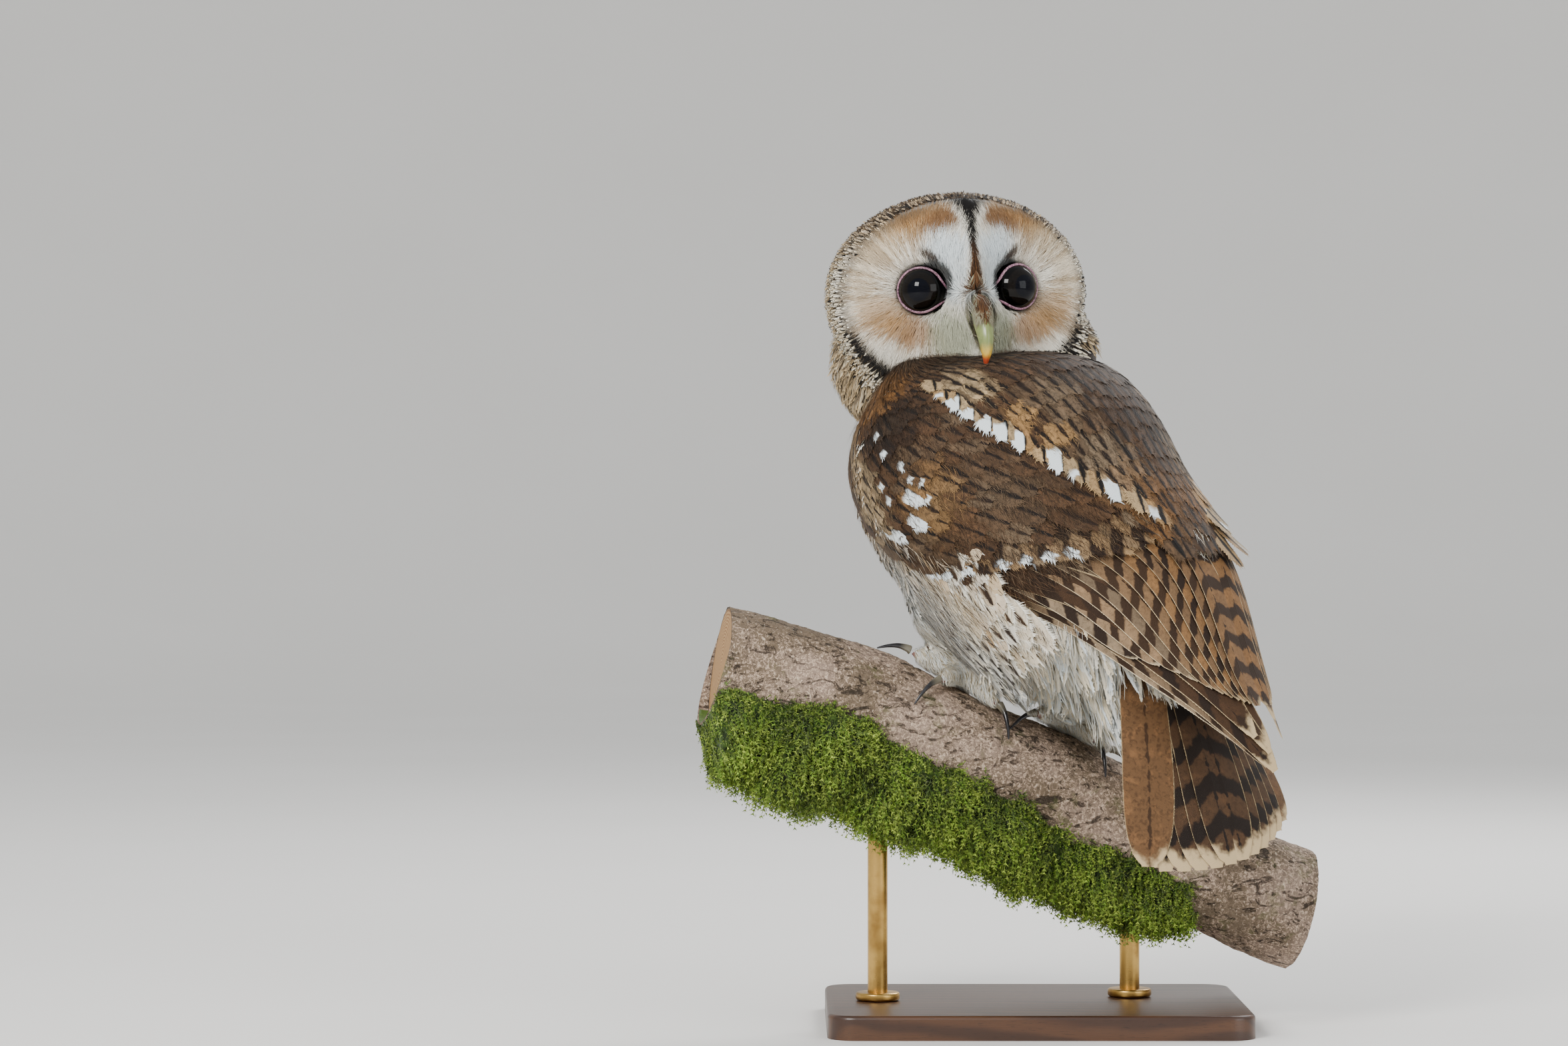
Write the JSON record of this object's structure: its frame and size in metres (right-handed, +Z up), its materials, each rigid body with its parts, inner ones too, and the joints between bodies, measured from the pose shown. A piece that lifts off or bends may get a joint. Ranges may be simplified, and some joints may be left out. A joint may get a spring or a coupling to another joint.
{
  "type": "tawny owl display model",
  "caption": "Life-size still tawny owl gripping a cut length of mossy branch on a small stand, body turned away and head looking back over its left shoulder.",
  "frame": {"origin": "centre of the stand base's underside", "axes": "+Z up; the body heads away along +Y and to -X, the face is turned to -Y, and the branch runs along X, high at -X"},
  "size_m": [0.3076, 0.1907, 0.416],
  "materials": {
    "tawny_feathers": "soft matt feathers, rufous to grey-brown with dark shaft streaks, bars and white spots",
    "pale_feathers": "soft matt off-white feathers with buff and brown flecks",
    "eyes": "wet black gloss",
    "bill_horn": "satin pale green-yellow horn, orange at the tip",
    "claw_horn": "satin dark horn",
    "bark": "rough grey-brown bark with pale lichen flecks",
    "moss": "matt bright to dark green feathery moss",
    "base_wood": "satin dark walnut",
    "stand_brass": "brushed, slightly dulled brass"
  },
  "bodies": {
    "root": {"head": "tawny_feathers", "neck": "tawny_feathers", "trunk": "tawny_feathers", "tail": "tawny_feathers", "wing_left_coverts": "tawny_feathers", "wing_left_secondaries": "tawny_feathers", "wing_left_primaries": "tawny_feathers", "wing_right_coverts": "tawny_feathers", "wing_right_secondaries": "tawny_feathers", "wing_right_primaries": "tawny_feathers", "facial_disc": "pale_feathers", "undertail": "pale_feathers", "leg_left": "pale_feathers", "leg_right": "pale_feathers", "toe_left_hallux": "pale_feathers", "toe_left_inner": "pale_feathers", "toe_left_middle": "pale_feathers", "toe_left_outer": "pale_feathers", "toe_right_hallux": "pale_feathers", "toe_right_inner": "pale_feathers", "toe_right_middle": "pale_feathers", "toe_right_outer": "pale_feathers", "eye_left": "eyes", "eye_right": "eyes", "bill_upper": "bill_horn", "bill_lower": "bill_horn", "claw_left_hallux": "claw_horn", "claw_left_inner": "claw_horn", "claw_left_middle": "claw_horn", "claw_left_outer": "claw_horn", "claw_right_hallux": "claw_horn", "claw_right_inner": "claw_horn", "claw_right_middle": "claw_horn", "claw_right_outer": "claw_horn", "perch_branch": "bark", "perch_moss": "moss", "stand_base": "base_wood", "stand_rod_left": "stand_brass", "stand_rod_right": "stand_brass", "stand_collar_left": "stand_brass", "stand_collar_right": "stand_brass"}
  },
  "joints": []
}
